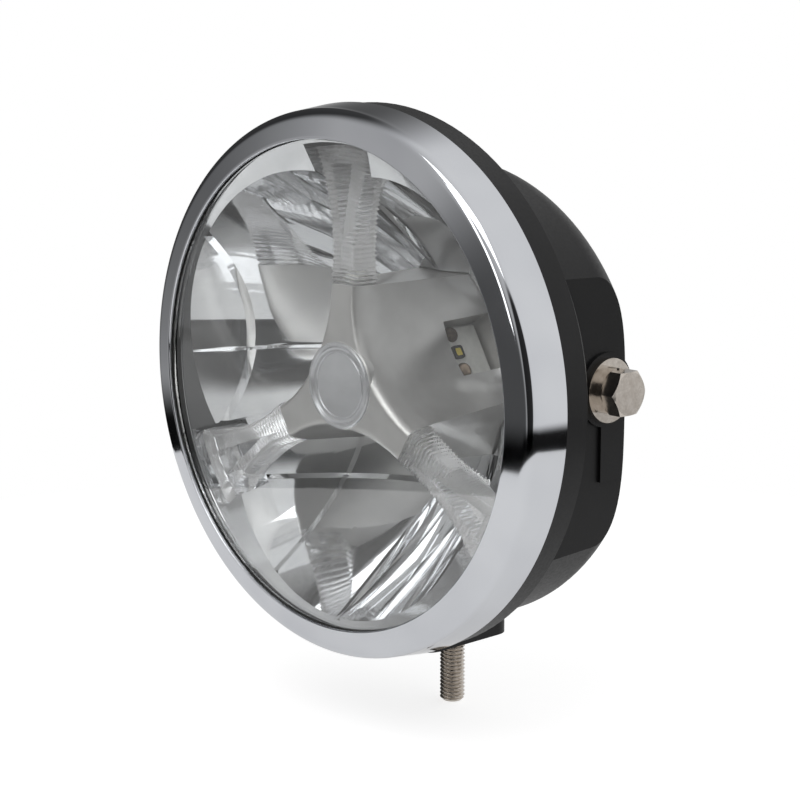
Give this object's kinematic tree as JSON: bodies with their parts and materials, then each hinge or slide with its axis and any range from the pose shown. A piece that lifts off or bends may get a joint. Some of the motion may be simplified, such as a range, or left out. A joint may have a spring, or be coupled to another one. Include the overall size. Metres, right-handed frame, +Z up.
{
  "type": "motorcycle spotlight",
  "caption": "Round motorcycle spotlight with a chrome bezel, clear lens, three-cup LED optic, black bucket, side bolts and a threaded bottom stud.",
  "frame": {"origin": "on the bottom stud's axis, at the seat under the stud boss", "axes": "+Z up along the stud, -Y the way the lamp shines, +X to the right of someone facing the lamp"},
  "size_m": [0.1684, 0.0751, 0.1938],
  "materials": {
    "chrome": "polished chrome plate",
    "black_body": "satin black paint",
    "clear_lens": "clear, polished",
    "clear_guide": "clear, fluted",
    "mirror": "bright aluminised",
    "satin_metal": "satin",
    "badge": "satin with a polished rim",
    "rubber": "matt black",
    "board": "white solder mask",
    "driver_board": "green solder mask",
    "emitter": "yellow phosphor",
    "electronics": "moulded black",
    "steel": "stainless, bright"
  },
  "bodies": {
    "root": {"bezel": "chrome", "lens": "clear_lens", "lens_seal": "rubber", "reflector": "mirror", "led_tower": "satin_metal", "hub_badge": "badge", "housing": "black_body", "light_guide_top": "clear_guide", "light_guide_left": "clear_guide", "light_guide_right": "clear_guide", "led_board_right": "board", "led_board_left": "board", "led_board_bottom": "board", "led_right": "emitter", "led_left": "emitter", "led_bottom": "emitter", "guide_leds": "emitter", "led_board_screws": "steel", "driver_screws": "steel", "tower_screws": "steel", "driver_board": "driver_board", "driver_coil": "electronics", "driver_capacitors": "electronics", "driver_connector": "electronics", "side_bolt_right": "steel", "side_bolt_left": "steel", "spring_washer_right": "steel", "spring_washer_left": "steel", "flat_washer_right": "steel", "flat_washer_left": "steel", "inner_nut_right": "steel", "inner_nut_left": "steel", "bottom_stud": "steel", "stud_washer": "steel", "cable_grommet": "rubber", "breather": "electronics"}
  },
  "joints": []
}
